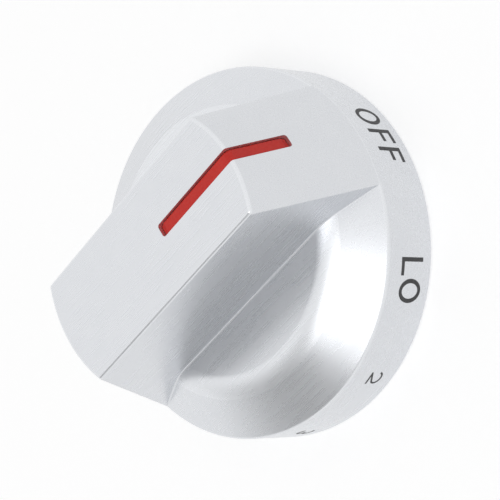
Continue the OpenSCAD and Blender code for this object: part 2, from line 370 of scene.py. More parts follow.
@dataclass
class GripBar:
    """The bar across the front, with leaning flat sides and conical ends."""

    dial: Dial
    top_z: float = 26.4
    top_half_w: float = 7.75
    lean_deg: float = 2.65
    pointer_top_r: float = 17.8
    tail_top_r: float = 18.5
    end_round: float = 0.5
    side_round: float = 0.35
    corner_round: float = 0.45
    wall: float = 1.9
    end_wall: float = 2.4
    roof: float = 2.4
    proud: float = 0.004
    arc_steps: int = 40
    corner_steps: int = 8
    round_steps: int = 8

    def half_width(self, z: float) -> float:
        """Half the bar's width at a height."""
        return self.top_half_w + (self.top_z - z) * math.tan(math.radians(self.lean_deg))

    def end_radius(self, top_r: float, z: float) -> float:
        """Radius of an end face at a height."""
        d = self.dial
        return d.rim_r + (top_r - d.rim_r) * (z - d.rim_h) / (self.top_z - d.rim_h)

    def end_half_outline(self, z: float, w: float, radius: float, speed: float, corner: float) -> tuple:
        """Outline of the pointer's half at one height, from the +X side round to the -X side.

        Args:
            z: Height of the outline.
            w: Half width there.
            radius: Radius of the end face there.
            speed: Change of that radius with height.
            corner: Radius of the upright corners.

        Returns:
            Points, level normals, and the inward lean at each point.
        """
        side_speed = -math.tan(math.radians(self.lean_deg))
        cx, reach = w - corner, radius - corner
        cy = math.sqrt(reach * reach - cx * cx)
        centre_speed = np.array([side_speed, (reach * speed - cx * side_speed) / cy])
        turn = math.atan2(cy, cx)
        angles = np.linspace(0, turn, self.corner_steps + 1)
        normals = np.stack([np.cos(angles), np.sin(angles)], 1)
        points = np.array([cx, cy]) + corner * normals
        lean = -(normals @ centre_speed)
        arc = np.linspace(turn, math.pi - turn, self.arc_steps + 1)[1:-1]
        arc_normals = np.stack([np.cos(arc), np.sin(arc)], 1)
        mirror = np.array([-1.0, 1.0])
        all_points = np.concatenate([points, radius * arc_normals, (points * mirror)[::-1]])
        all_normals = np.concatenate([normals, arc_normals, (normals * mirror)[::-1]])
        all_lean = np.concatenate([lean, np.full(len(arc), -speed), lean[::-1]])
        return np.column_stack([all_points, np.full(len(all_points), z)]), all_normals, all_lean

    def end_profile(self, top_r: float) -> list[Stroke]:
        """Outline of an end face in radius and height, from inside the dial up to the top."""
        d = self.dial
        low_z = d.rim_h - 0.4
        corners = [
            (d.rim_r - 0.6, d.rim_h - 1.6),
            (d.rim_r - 0.6, low_z - 0.3),
            (d.skirt_radius(low_z) + self.proud, low_z),
            (d.rim_r + self.proud, d.rim_h),
            (top_r, self.top_z),
        ]
        return rounded_outline(corners, [0, 0, 0, d.rim_round, 0], 5)

    def outer(self) -> Form:
        """The bar's solid form, down into the dial."""
        ends = [self.end_profile(self.pointer_top_r), self.end_profile(self.tail_top_r)]
        form = Form()
        columns = 2 * (2 * self.corner_steps + self.arc_steps + 1)

        def level(stroke: int, k: int) -> tuple[np.ndarray, np.ndarray]:
            """Points and normals round the bar at one point of the end faces' outlines."""
            points, normals = [], []
            for end, strokes in enumerate(ends):
                radius, z = strokes[stroke].points[k]
                nr, nz = strokes[stroke].normals[k]
                p, n, lean = self.end_half_outline(z, self.half_width(z), radius, -nz / nr if abs(nr) > 1e-6 else 0.0, self.corner_round)
                sign = 1 if end == 0 else -1
                points.append(p * [sign, sign, 1])
                normals.append(upright(n * sign, lean))
            return np.concatenate(points), np.concatenate(normals)

        def upright(level_normals: np.ndarray, lean: np.ndarray) -> np.ndarray:
            """Tilts level normals by the lean of their wall."""
            full = np.column_stack([level_normals, lean])
            return full / np.linalg.norm(full, axis=1)[:, None]

        def add_ring(points: np.ndarray) -> int:
            """Adds one ring of points."""
            first = len(form.points)
            form.points.extend(points.tolist())
            return first

        def skin(low: int, low_n: np.ndarray, high: int, high_n: np.ndarray, highlight_weight: float) -> None:
            """Joins two rings with faces."""
            for i in range(columns):
                j = (i + 1) % columns
                form.add_face(
                    [low + i, low + j, high + j, high + i],
                    [low_n[i], low_n[j], high_n[j], high_n[i]],
                    highlight_weight,
                )

        points, normals = level(0, 0)
        low = add_ring(points)
        bottom = low
        for s, stroke in enumerate(ends[0]):
            for k in range(1, len(stroke.points)):
                _, low_n = level(s, k - 1)
                points, high_n = level(s, k)
                last = s == len(ends[0]) - 1 and k == len(stroke.points) - 1
                if last:
                    points, rows = self.top_rows(points, high_n)
                high = add_ring(points)
                # roundings get weight 1 for the painted edge highlight
                skin(low, low_n, high, high_n, float(stroke.rounding))
                low = high
        before = rows[0][1]
        # the rounding into the top gets the full painted edge highlight
        for points, normals in rows[1:]:
            high = add_ring(points)
            skin(low, before, high, normals, 1.0)
            low, before = high, normals
        form.add_face(list(range(low, low + columns)), [(0.0, 0.0, 1.0)] * columns)
        form.add_face(list(range(bottom + columns - 1, bottom - 1, -1)), [(0.0, 0.0, -1.0)] * columns)
        return form

    def top_rows(self, corners: np.ndarray, normals: np.ndarray) -> tuple[np.ndarray, list]:
        """Rows of the rounding between the walls and the flat top.

        Args:
            corners: Where each wall would meet the top.
            normals: The walls' normals there.

        Returns:
            The first row's points, and all rows with their normals.
        """
        level = normals[:, :2] / np.linalg.norm(normals[:, :2], axis=1)[:, None]
        lean = np.arctan2(normals[:, 2], np.linalg.norm(normals[:, :2], axis=1))
        share = np.clip(np.abs(level[:, 1]) / 0.9, 0, 1)
        radius = (self.side_round + (self.end_round - self.side_round) * share)[:, None]
        reach = radius[:, 0] * np.tan((math.pi / 2 - lean) / 2)
        centre = corners.copy()
        centre[:, :2] -= level * reach[:, None]
        centre[:, 2] -= radius[:, 0]
        rows = []
        for t in np.linspace(0, 1, self.round_steps + 1):
            angle = lean + (math.pi / 2 - lean) * t
            n = np.column_stack([level * np.cos(angle)[:, None], np.sin(angle)])
            rows.append((centre + radius * n, n))
        return rows[0][0], rows

    def hollow(self) -> Form:
        """The space inside the bar."""
        low_z, high_z = 7.7, self.top_z - self.roof
        form = Form(inner=True)
        rings = []
        for z in (low_z, high_z):
            points, normals = [], []
            for sign, top_r in ((1, self.pointer_top_r), (-1, self.tail_top_r)):
                speed = (top_r - self.dial.rim_r) / (self.top_z - self.dial.rim_h)
                p, n, lean = self.end_half_outline(
                    z, self.half_width(z) - self.wall, self.end_radius(top_r, z) - self.end_wall, speed, 0.8
                )
                full = np.column_stack([n * sign, lean])
                points.append(p * [sign, sign, 1])
                normals.append(full / np.linalg.norm(full, axis=1)[:, None])
            form.points.extend(np.concatenate(points).tolist())
            rings.append(np.concatenate(normals))
        n = len(rings[0])
        for i in range(n):
            j = (i + 1) % n
            form.add_face([i, j, n + j, n + i], [rings[0][i], rings[0][j], rings[1][j], rings[1][i]])
        form.add_face(list(range(n - 1, -1, -1)), [(0.0, 0.0, -1.0)] * n)
        form.add_face(list(range(n, 2 * n)), [(0.0, 0.0, 1.0)] * n)
        return form

    def base_fillet(self, sign: int, radius: float = 0.25, steps: int = 6, stations: int = 120) -> Form:
        """The small concave fillet where a long side meets the front.

        Args:
            sign: 1 for the +X side, -1 for the other.
            radius: Radius of the fillet, which fades out towards the rim.
            steps: Chords in its section.
            stations: Sections along it.

        Returns:
            A closed strip that reaches a little into the bar and the front.
        """
        d = self.dial
        lean = math.radians(self.lean_deg)
        side = np.array([math.cos(lean), 0.0, math.sin(lean)])
        reach = 23.45
        sections = []
        for y in np.linspace(-reach, reach, stations + 1):
            z = d.plateau_z
            for _ in range(12):
                x = self.half_width(z)
                r = math.hypot(x, y)
                z, (nr, nz) = d.surface(r)
            base = np.array([self.half_width(z), y, z])
            front = np.array([nr * x / r, nr * y / r, nz])
            size = radius * min(1.0, 0.12 + (reach - abs(y)) / 1.5)
            centre = base + (side + front) * (size * 0.98) / (1 + float(side @ front))
            arc, normals = [], []
            for t in np.linspace(0, 1, steps + 1):
                n = side * (1 - t) + front * t
                n /= np.linalg.norm(n)
                arc.append(centre - size * n)
                normals.append(n)
            sections.append((arc + [base - (side + front) * 0.25], normals))
        flip = np.array([sign, 1.0, 1.0])
        form = Form()
        count = steps + 2
        for points, _ in sections:
            form.points.extend([(p * flip).tolist() for p in points])
        for s in range(stations):
            a, b = s * count, (s + 1) * count
            for k in range(count):
                m = (k + 1) % count
                low, high = sections[s][1], sections[s + 1][1]
                if k < steps:
                    normals = [low[k] * flip, low[m] * flip, high[m] * flip, high[k] * flip]
                else:
                    normals = [(0.0, 0.0, -1.0)] * 4
                corners = [a + k, a + m, b + m, b + k]
                if sign < 0:
                    corners, normals = corners[::-1], normals[::-1]
                form.add_face(corners, normals)
        first = list(range(count))
        last = [stations * count + k for k in range(count)]
        if sign < 0:
            first, last = first[::-1], last[::-1]
        form.add_face(first[::-1], [(0.0, -1.0, 0.0)] * count)
        form.add_face(last, [(0.0, 1.0, 0.0)] * count)
        return form


@dataclass
class Channel:
    """The channel for the pointer strip: along the top, over the crest, down the end wall."""

    bar: GripBar
    width: float = 1.9
    depth: float = 1.4
    start: float = 3.45
    drop: float = 9.0
    corner: float = 0.4

    @property
    def crest(self) -> np.ndarray:
        """The crest, in Y and Z."""
        return np.array([self.bar.pointer_top_r, self.bar.top_z])

    @property
    def end_along(self) -> np.ndarray:
        """Unit vector down the end wall, in Y and Z."""
        d = self.bar.dial
        v = np.array([d.rim_r - self.bar.pointer_top_r, d.rim_h - self.bar.top_z])
        return v / np.linalg.norm(v)

    @property
    def end_out(self) -> np.ndarray:
        """Unit vector out of the end wall, in Y and Z."""
        return np.array([-self.end_along[1], self.end_along[0]])

    def inner_corner(self, depth: float) -> np.ndarray:
        """Where the line at a depth below the top meets the line at that depth in the end wall."""
        z = self.bar.top_z - depth
        p = self.crest - self.end_out * depth
        return p + self.end_along * (z - p[1]) / self.end_along[1]

    def cutters(self) -> list[Form]:
        """The two forms that cut the channel, each with rounded corners at its closed end."""
        half = self.width / 2
        top_z = self.bar.top_z
        top = prism_form(
            rounded_box_outline((-half, half), (self.start, 24.0), self.corner),
            top_z - self.depth,
            top_z + 1,
        )
        out, along = self.end_out, self.end_along
        turn = Matrix(((-1, 0, 0, 0), (0, -along[0], out[0], self.crest[0]), (0, -along[1], out[1], self.crest[1]), (0, 0, 0, 1)))
        end = prism_form(
            rounded_box_outline((-half, half), (-self.drop, 6.0), self.corner), -self.depth, 2.0
        ).moved(turn)
        return [top, end]


@dataclass
class Hub:
    """Hub with its D-shaped shaft hole, the links to the bar's sides, and the ribs."""

    bar: GripBar
    radius: float = 6.2
    recess: float = 1.0
    link_w: float = 8.0
    bore_r: float = 3.2
    d_r: float = 3.025
    flat: float = 1.6
    round_z: float = 6.6
    end_z: float = 17.0
    core_r: float = 2.0
    core_z: float = 23.0
    chamfer: float = 0.6
    rib_count: int = 4
    rib_t: float = 1.4
    rib_recess: float = 2.5
    pocket: Triple = (4.1, 3.1, 8.9)
    pocket_z: float = 7.35

    def added(self) -> list[Form]:
        """Hub, link and ribs."""
        d = self.bar.dial
        top = self.bar.top_z - self.bar.roof / 2
        profile = rounded_outline(
            [(0, self.recess), (self.radius, self.recess), (self.radius, top), (0, top)], [0, 0.3, 0, 0], 4
        )
        half = self.bar.half_width(self.bar.top_z - self.bar.roof) - self.bar.wall / 2
        link = prism_form(
            [(-half, -self.link_w / 2), (half, -self.link_w / 2), (half, self.link_w / 2), (-half, self.link_w / 2)],
            d.plateau_z - d.front_wall - 1,
            top,
            True,
        )
        forms = [turned_form(profile, 128, True), link]
        inner = d.rim_r + d.flare - d.skirt_wall
        outline = [
            (self.radius - 1, self.rib_recess),
            (inner + 0.7, self.rib_recess),
            (inner + 0.3, 7.9),
            (d.plateau_r, d.plateau_z - 1),
            (self.radius - 1, d.plateau_z - 1),
        ]
        rib = prism_form(outline, -self.rib_t / 2, self.rib_t / 2, True)
        for i in range(self.rib_count):
            turn = Matrix.Rotation((i + 0.5) * 2 * math.pi / self.rib_count, 4, "Z")
            forms.append(rib.moved(turn @ Matrix.Rotation(math.pi / 2, 4, "X")))
        return forms

    def removed(self) -> list[Form]:
        """Lead-in, D-shaped hole, core and spring pocket."""
        lead = rounded_outline(
            [
                (0, self.recess - 1),
                (self.bore_r + self.chamfer, self.recess - 1),
                (self.bore_r + self.chamfer, self.recess),
                (self.bore_r, self.recess + self.chamfer),
                (self.bore_r, self.round_z),
                (0, self.round_z),
            ],
            [0] * 6,
        )
        half_gap = math.acos(self.flat / self.d_r)
        arc = np.linspace(math.pi / 2 + half_gap, 2.5 * math.pi - half_gap, 97)
        shaft = prism_form(
            [(self.d_r * math.cos(a), self.d_r * math.sin(a)) for a in arc], self.round_z - 0.5, self.end_z, True
        )
        w, y, length = self.pocket
        pocket = prism_form(
            [(-w / 2, 0), (w / 2, 0), (w / 2, y), (-w / 2, y)], self.pocket_z, self.pocket_z + length, True
        )
        core = turned_form(drum_profile(self.core_r, self.end_z - 1, self.core_z), 64, True)
        return [turned_form(lead, 96, True), shaft, pocket, core]


@dataclass
class Shell:
    """The moulded knob: dial, bar, hub and ribs in one shell."""

    dial: Dial = field(default_factory=Dial)
    peg_hole_r: float = 0.65
    pegs: Pair = (8.0, 13.0)

    def __post_init__(self) -> None:
        """Derives the pieces that stand on the dial."""
        self.bar = GripBar(self.dial)
        self.channel = Channel(self.bar)
        self.hub = Hub(self.bar)

    def build(self) -> bpy.types.Object:
        """Builds the shell's mesh."""
        parts: list[tuple[Joining, bpy.types.Object]] = []

        def queue(joining: Joining, forms: list[Form], name: str) -> None:
            """Makes objects of the forms and lines them up."""
            for i, form in enumerate(forms):
                parts.append((joining, form.to_object(f"{name}_{i}")))

        queue(Joining.ADD, [self.bar.outer()], "bar")
        queue(Joining.ADD, [self.bar.base_fillet(1), self.bar.base_fillet(-1)], "fillet")
        queue(Joining.CUT, [self.dial.hollow(), self.bar.hollow()], "hollow")
        queue(Joining.ADD, self.hub.added(), "hub")
        queue(Joining.CUT, self.hub.removed(), "hole")
        queue(Joining.CUT, self.channel.cutters(), "channel")
        roof = self.bar.top_z - self.bar.roof
        for y in self.pegs:
            hole = turned_form(drum_profile(self.peg_hole_r, roof - 1, self.bar.top_z - 1), 32, True)
            queue(Joining.CUT, [hole.moved(Matrix.Translation((0, y, 0)))], f"peg_{y:.0f}")
        mesh = combined(self.dial.outer().to_object("dial"), parts)
        apply_surface_normals(mesh)
        mesh.name = "silver_shell"
        shell = bpy.data.objects.new("silver_shell", mesh)
        bpy.context.scene.collection.objects.link(shell)
        return shell


# ---- the pieces in and on the shell ----


def outward(mesh: bpy.types.Mesh) -> None:
    """Turns a closed mesh's faces outward."""
    work = bmesh.new()
    work.from_mesh(mesh)
    if work.calc_volume(signed=True) < 0:
        bmesh.ops.reverse_faces(work, faces=work.faces)
    work.to_mesh(mesh)
    work.free()


def swept_object(name: str, rings: list[np.ndarray], edge: float, sharp_deg: float = 25.0) -> bpy.types.Object:
    """Skins a row of rings, closes both ends and breaks the sharp edges.

    Args:
        name: Name of the piece.
        rings: Rings of points in millimetres, all with as many points.
        edge: Width of the broken edges.
        sharp_deg: Smallest angle that counts as an edge.

    Returns:
        The piece.
    """
    n = len(rings[0])
    faces = [
        (a * n + k, a * n + (k + 1) % n, (a + 1) * n + (k + 1) % n, (a + 1) * n + k)
        for a in range(len(rings) - 1)
        for k in range(n)
    ]
    faces += [tuple(range(n - 1, -1, -1)), tuple((len(rings) - 1) * n + k for k in range(n))]
    raw = bpy.data.meshes.new(name)
    raw.from_pydata((np.concatenate(rings) * MM).tolist(), [], faces)
    outward(raw)
    rough = bpy.data.objects.new(name + "_rough", raw)
    bpy.context.scene.collection.objects.link(rough)
    step = rough.modifiers.new("edges", "BEVEL")
    step.width = edge * MM
    step.segments = 2
    step.limit_method = "ANGLE"
    step.angle_limit = math.radians(sharp_deg)
    step.harden_normals = True
    graph = bpy.context.evaluated_depsgraph_get()
    graph.update()
    mesh = bpy.data.meshes.new_from_object(rough.evaluated_get(graph))
    bpy.data.objects.remove(rough)
    mesh.name = name
    made = bpy.data.objects.new(name, mesh)
    bpy.context.scene.collection.objects.link(made)
    return made


@dataclass
class PointerStrip:
    """The red strip, bent over the crest, with a low step at each end and two staked pegs."""

    channel: Channel
    gap: float = 0.04
    recess: float = 0.3
    bevel: float = 0.2
    step_bevel: float = 0.06
    crest_flat: float = 0.9
    step_len: float = 0.7
    step_drop: float = 0.35
    corner: float = 0.36
    edge: float = 0.03
    peg_r: float = 0.6
    head_r: float = 1.1
    head_t: float = 0.6
    pegs: Pair = (8.0, 13.0)

    def stations(self) -> list[tuple[np.ndarray, np.ndarray, float, float, float]]:
        """Sections along the strip: face point, way down, half width, drop and bevel."""
        c = self.channel
        half = c.width / 2 - self.gap
        face_z = c.bar.top_z - self.recess
        start = c.start + self.gap
        down = np.array([0.0, -1.0])
        inward = -c.end_out
        foot = c.crest - c.end_out * self.recess + c.end_along * (c.drop - self.gap)
        bend, floor = c.inner_corner(self.recess), c.inner_corner(c.depth)
        half_angle = math.acos(-c.end_along[0]) / 2
        trim = self.crest_flat / (2 * math.sin(half_angle))
        before, after = bend - [trim, 0], bend + c.end_along * trim
        middle = (before + after) / 2
        rows = []
        for a in np.linspace(0, math.pi / 2, 5):
            y = start + self.corner * (1 - math.cos(a))
            h = half - self.corner * (1 - math.sin(a))
            rows.append((np.array([y, face_z]), down, h, self.step_drop, self.step_bevel))
        rows.append((np.array([start + self.step_len, face_z]), down, half, self.step_drop, self.step_bevel))
        rows.append((np.array([start + self.step_len + 0.05, face_z]), down, half, 0.0, self.bevel))
        rows.append((before, down, half, 0.0, self.bevel))
        rows.append((middle, (floor - middle) / (c.depth - self.recess), half, 0.0, self.bevel))
        rows.append((after, inward, half, 0.0, self.bevel))
        rows.append((foot - c.end_along * (self.step_len + 0.05), inward, half, 0.0, self.bevel))
        rows.append((foot - c.end_along * self.step_len, inward, half, self.step_drop, self.step_bevel))
        for a in np.linspace(math.pi / 2, 0, 5):
            at = foot - c.end_along * self.corner * (1 - math.cos(a))
            h = half - self.corner * (1 - math.sin(a))
            rows.append((at, inward, h, self.step_drop, self.step_bevel))
        return rows

    def build(self) -> bpy.types.Object:
        """Builds the strip."""
        thick = self.channel.depth - self.recess
        rings = []
        for at, way, h, drop, b in self.stations():
            xs = [-h, -h, b - h, h - b, h, h]
            depths = [thick, drop + b, drop, drop, drop + b, thick]
            rings.append(np.array([[x, *(at + way * d)] for x, d in zip(xs, depths)]))
        return swept_object("pointer_strip", rings, self.edge)

    def build_pegs(self) -> bpy.types.Object:
        """Builds both pegs, each with its flattened head inside the bar."""
        roof = self.channel.bar.top_z - self.channel.bar.roof
        floor = self.channel.bar.top_z - self.channel.depth
        corners = [
            (0, roof - self.head_t),
            (self.head_r, roof - self.head_t),
            (self.head_r, roof - 0.02),
            (self.peg_r, roof - 0.02),
            (self.peg_r, floor + 0.2),
            (0, floor + 0.2),
        ]
        form = Form()
        for y in self.pegs:
            peg = turned_form(rounded_outline(corners, [0, 0.35, 0.08, 0, 0, 0], 6), 48)
            peg = peg.moved(Matrix.Translation((0, y, 0)))
            first = len(form.points)
            form.points.extend(peg.points)
            form.faces.extend(tuple(i + first for i in face) for face in peg.faces)
            form.normals.extend(peg.normals)
            form.highlight_weight.extend(peg.highlight_weight)
        made = form.to_object("pointer_pegs")
        apply_surface_normals(made.data)
        return made


@dataclass
class ShaftSpring:
    """The folded leaf beside the flat of the shaft hole."""

    thickness: float = 0.3
    width: float = 3.8
    back_y: float = 3.1
    leaf_y: float = 1.45
    low_z: float = 7.5
    length: float = 8.0
    bow: float = 0.45
    bend: float = 0.6
    edge: float = 0.04

    def centre_line(self) -> np.ndarray:
        """The strip's middle line, in Y and Z, from the back's foot to the leaf's tip."""
        t = self.thickness / 2
        high_z = self.low_z + self.length
        line = [(self.back_y - t, z) for z in np.linspace(self.low_z, high_z, 5)]
        for a in np.linspace(0, math.pi, 15)[1:]:
            line.append(
                (self.back_y - self.bend + (self.bend - t) * math.cos(a), high_z + (self.bend - t) * math.sin(a))
            )
        half = self.length / 2
        leaf_r = (half * half + self.bow * self.bow) / (2 * self.bow)
        for z in np.linspace(half, -half, 25)[1:]:
            line.append((self.leaf_y + leaf_r - math.sqrt((leaf_r - t) ** 2 - z * z), self.low_z + half + z))
        return np.array(line)

    def build(self) -> bpy.types.Object:
        """Builds the spring."""
        line = self.centre_line()
        way = np.gradient(line, axis=0)
        way /= np.linalg.norm(way, axis=1)[:, None]
        side = np.column_stack([-way[:, 1], way[:, 0]]) * self.thickness / 2
        w = self.width / 2
        rings = [
            np.array([[-w, *(p - s)], [w, *(p - s)], [w, *(p + s)], [-w, *(p + s)]]) for p, s in zip(line, side)
        ]
        return swept_object("leaf_spring", rings, self.edge, 45.0)


# ---- the printed scale ----


def arc_line(centre: Pair, radii: Pair, start: float, end: float, steps: int = 16) -> list[Pair]:
    """Points along an elliptic arc between two angles in degrees."""
    return [
        (centre[0] + radii[0] * math.cos(math.radians(a)), centre[1] + radii[1] * math.sin(math.radians(a)))
        for a in np.linspace(start, end, steps + 1)
    ]


def ribbon_form(line: list[Pair], width: float, low: float, high: float, closed: bool) -> Form:
    """A flat ribbon of even width along a line.

    Args:
        line: The ribbon's middle line.
        width: Its width.
        low: Height of its underside.
        high: Height of its face.
        closed: Whether the line's end joins its start.

    Returns:
        A closed form.
    """
    p = np.array(line, float)
    if closed:
        p = p[:-1]
    n = len(p)
    before = np.roll(p, 1, 0) if closed else np.vstack([2 * p[0] - p[1], p[:-1]])
    after = np.roll(p, -1, 0) if closed else np.vstack([p[1:], 2 * p[-1] - p[-2]])
    first, second = p - before, after - p
    first /= np.linalg.norm(first, axis=1)[:, None]
    second /= np.linalg.norm(second, axis=1)[:, None]
    mean = first + second
    mean /= np.linalg.norm(mean, axis=1)[:, None]
    side = np.column_stack([-mean[:, 1], mean[:, 0]])
    stretch = 1 / np.maximum((mean * first).sum(1), 0.4)
    offset = side * (stretch * width / 2)[:, None]
    form = Form()
    for z in (low, high):
        for q in (p - offset, p + offset):
            form.points.extend([(x, y, z) for x, y in q])
    up, down, flat = (0.0, 0.0, 1.0), (0.0, 0.0, -1.0), (0.0, 0.0, 0.0)
    for i in range(n if closed else n - 1):
        j = (i + 1) % n
        form.add_face([2 * n + i, 2 * n + j, 3 * n + j, 3 * n + i], [up] * 4)
        form.add_face([i, n + i, n + j, j], [down] * 4)
        form.add_face([i, j, 2 * n + j, 2 * n + i], [flat] * 4)
        form.add_face([n + j, n + i, 3 * n + i, 3 * n + j], [flat] * 4)
    if not closed:
        form.add_face([n, 0, 2 * n, 3 * n], [flat] * 4)
        form.add_face([n - 1, 2 * n - 1, 4 * n - 1, 3 * n - 1], [flat] * 4)
    return form


def glyph_lines(sign: str, w: float, h: float, t: float) -> list[list[Pair]]:
    """Middle lines of a letter's or a number's strokes.

    Args:
        sign: The letter or number.
        w: Its width.
        h: Its height.
        t: Width of its strokes.

    Returns:
        The lines, in a frame with the letter's low left corner at the origin.
    """
    a, b = t / 2, h - t / 2
    r, q = w / 2 - a, (h / 2 - t) / 2 + a / 2
    x = w / 2
    lines = {
        "O": [arc_line((x, h / 2), (r, h / 2 - a), 0, 360, 48)],
        "F": [[(a, 0), (a, h)], [(a, b), (w, b)], [(a, h * 0.51), (w * 0.9, h * 0.51)]],
        "L": [[(a, h), (a, 0)], [(a, a), (w, a)]],
        "H": [[(a, 0), (a, h)], [(w - a, 0), (w - a, h)], [(a, h / 2), (w - a, h / 2)]],
        "I": [[(x, 0), (x, h)]],
        "2": [arc_line((x, b - r), (r, r), 165, -38, 18) + [(a * 1.6, a)], [(a * 0.6, a), (w, a)]],
        "3": [arc_line((x, b - q), (r, q), 150, -90, 18), arc_line((x, a + q), (r, q), 90, -150, 18)],
        "4": [[(w * 0.66, 0), (w * 0.66, h)], [(w * 0.66, b), (a, h * 0.3), (w, h * 0.3)]],
        "5": [
            [(w * 0.9, b), (w * 0.18, b), (w * 0.1, h * 0.52)]
            + arc_line((x, a + q * 1.12), (r, q * 1.12), 112, -150, 18)
        ],
        "6": [
            arc_line((x, a + q), (r, q), 0, 360, 32),
            [(w * 0.74, h)] + arc_line((x + r * 0.62, a + q), (r * 1.62, h * 0.62), 118, 180, 10),
        ],
        "7": [[(0, b), (w - a, b), (w * 0.36, 0)]],
        "8": [arc_line((x, b - q * 0.92), (r * 0.86, q * 0.92), 0, 360, 32), arc_line((x, a + q), (r, q), 0, 360, 32)],
    }
    return lines[sign]


@dataclass(frozen=True)
class Label:
    """One sign of the scale. Angles run clockwise from the pointer, seen from the front."""

    sign: str
    from_deg: float
    to_deg: float
    top_depth: float = 6.75
    foot_depth: float = 2.4
    stroke: float = 0.56


@dataclass
class DialPrint:
    """The scale printed round the skirt. Its signs stand upright seen with the front down."""

    dial: Dial
    edge_z: float = 8.71
    ink: float = 0.02
    sunk: float = 0.03
    slice_w: float = 0.25
    first_deg: float = 79.2
    pitch_deg: float = 31.6
    digits: str = "2345678"

    def labels(self) -> list[Label]:
        """All signs of the scale."""
        found = [
            Label("O", -8.2, -1.2),
            Label("F", 0.75, 5.7),
            Label("F", 7.4, 12.3),
            Label("L", 41.0, 46.3),
            Label("O", 47.2, 54.3),
        ]
        for i, digit in enumerate(self.digits):
            middle = self.first_deg + i * self.pitch_deg
            found.append(Label(digit, middle - 2.3, middle + 2.3, 6.0, 3.4, 0.27))
        middle = self.first_deg + len(self.digits) * self.pitch_deg
        found += [Label("H", middle - 5.6, middle + 0.9), Label("I", middle + 3.2, middle + 4.5)]
        return found

    def build_sign(self, label: Label, name: str) -> bpy.types.Object:
        """Builds one sign flat, slices it, and lays it round the skirt.

        Args:
            label: The sign and its place.
            name: Name of the piece.

        Returns:
            The sign on the skirt.
        """
        low_z = self.edge_z - label.foot_depth
        radius = self.dial.skirt_radius(low_z)
        width = math.radians(label.to_deg - label.from_deg) * radius
        height = label.top_depth - label.foot_depth
        bits = []
        for i, line in enumerate(glyph_lines(label.sign, width, height, label.stroke)):
            closed = math.dist(line[0], line[-1]) < 1e-6
            form = ribbon_form(line, label.stroke, -self.sunk, self.ink, closed)
            bits.append(form.to_object(f"{name}_{i}"))
        mesh = combined(bits[0], [(Joining.ADD, b) for b in bits[1:]])
        work = bmesh.new()
        work.from_mesh(mesh)
        for x in np.arange(self.slice_w, width, self.slice_w):
            geometry = work.verts[:] + work.edges[:] + work.faces[:]
            bmesh.ops.bisect_plane(work, geom=geometry, plane_co=(x * MM, 0, 0), plane_no=(1, 0, 0))
        for vert in work.verts:
            u, v, h = (c / MM for c in vert.co)
            z = low_z - v
            angle = math.radians(label.from_deg) + u / radius
            r = self.dial.skirt_radius(z) + h
            vert.co = Vector((r * math.sin(angle), r * math.cos(angle), z)) * MM
        work.to_mesh(mesh)
        work.free()
        outward(mesh)
        mesh.shade_smooth()
        mesh.set_sharp_from_angle(angle=math.radians(40))
        mesh.name = name
        made = bpy.data.objects.new(name, mesh)
        bpy.context.scene.collection.objects.link(made)
        return made

    def build(self) -> list[bpy.types.Object]:
        """Builds every sign."""
        return [
            self.build_sign(label, f"print_{i:02d}_{label.sign}") for i, label in enumerate(self.labels())
        ]


# ---- finishes ----


class NodeSheet:
    """Adds and joins the nodes of one tree."""

    def __init__(self, tree: bpy.types.NodeTree) -> None:
        """Takes the tree to work on."""
        self.tree = tree

    def add(self, kind: str, inputs: dict | None = None, **settings: object) -> bpy.types.Node:
        """Adds a node.

        Args:
            kind: Blender's name of the node type.
            inputs: Value or source socket for each input, by name or index.
            **settings: Properties of the node.

        Returns:
            The node.
        """
        node = self.tree.nodes.new(kind)
        for name, value in settings.items():
            setattr(node, name, value)
        for key, value in (inputs or {}).items():
            socket = node.inputs[key]
            if isinstance(value, bpy.types.NodeSocket):
                self.tree.links.new(value, socket)
            else:
                socket.default_value = value
        return node

    def maths(self, operation: str, a: object, b: object = 0.0, c: object = 0.0) -> bpy.types.NodeSocket:
        """Adds a Math node and returns its result."""
        node = self.add("ShaderNodeMath", {0: a, 1: b, 2: c}, operation=operation)
        return node.outputs[0]

    def spread(self, value: object, low: float, high: float, to_low: float, to_high: float) -> bpy.types.NodeSocket:
        """Maps a value from one range to another, clamped."""
        node = self.add("ShaderNodeMapRange", {0: value, 1: low, 2: high, 3: to_low, 4: to_high})
        return node.outputs[0]

    def blend(self, factor: object, a: object, b: object) -> bpy.types.NodeSocket:
        """Mixes two colours."""
        node = self.add("ShaderNodeMix", data_type="RGBA")
        for key, value in (("Factor_Float", factor), ("A_Color", a), ("B_Color", b)):
            socket = next(s for s in node.inputs if s.identifier == key)
            if isinstance(value, bpy.types.NodeSocket):
                self.tree.links.new(value, socket)
            else:
                socket.default_value = value
        return next(s for s in node.outputs if s.identifier == "Result_Color")

    def millimetres(self) -> bpy.types.NodeSocket:
        """The object's own coordinates, in millimetres."""
        place = self.add("ShaderNodeTexCoord").outputs["Object"]
        return self.add("ShaderNodeVectorMath", {0: place, 3: 1 / MM}, operation="SCALE").outputs[0]


def new_group(name: str, inputs: dict[str, float], outputs: list[str]) -> tuple[bpy.types.NodeTree, NodeSheet, dict, dict]:
    """Starts a shader node group with float sockets.

    Args:
        name: Name of the group.
        inputs: Default value of each input.
        outputs: Names of the outputs.

    Returns:
        The group, its sheet, its input sockets and its output sockets.
    """
    group = bpy.data.node_groups.new(name, "ShaderNodeTree")
    for key, value in inputs.items():
        group.interface.new_socket(key, in_out="INPUT", socket_type="NodeSocketFloat").default_value = value
    for key in outputs:
        group.interface.new_socket(key, in_out="OUTPUT", socket_type="NodeSocketFloat")
    sheet = NodeSheet(group)
    given = sheet.add("NodeGroupInput").outputs
    taken = sheet.add("NodeGroupOutput").inputs
    return group, sheet, {k: given[k] for k in inputs}, {k: taken[k] for k in outputs}


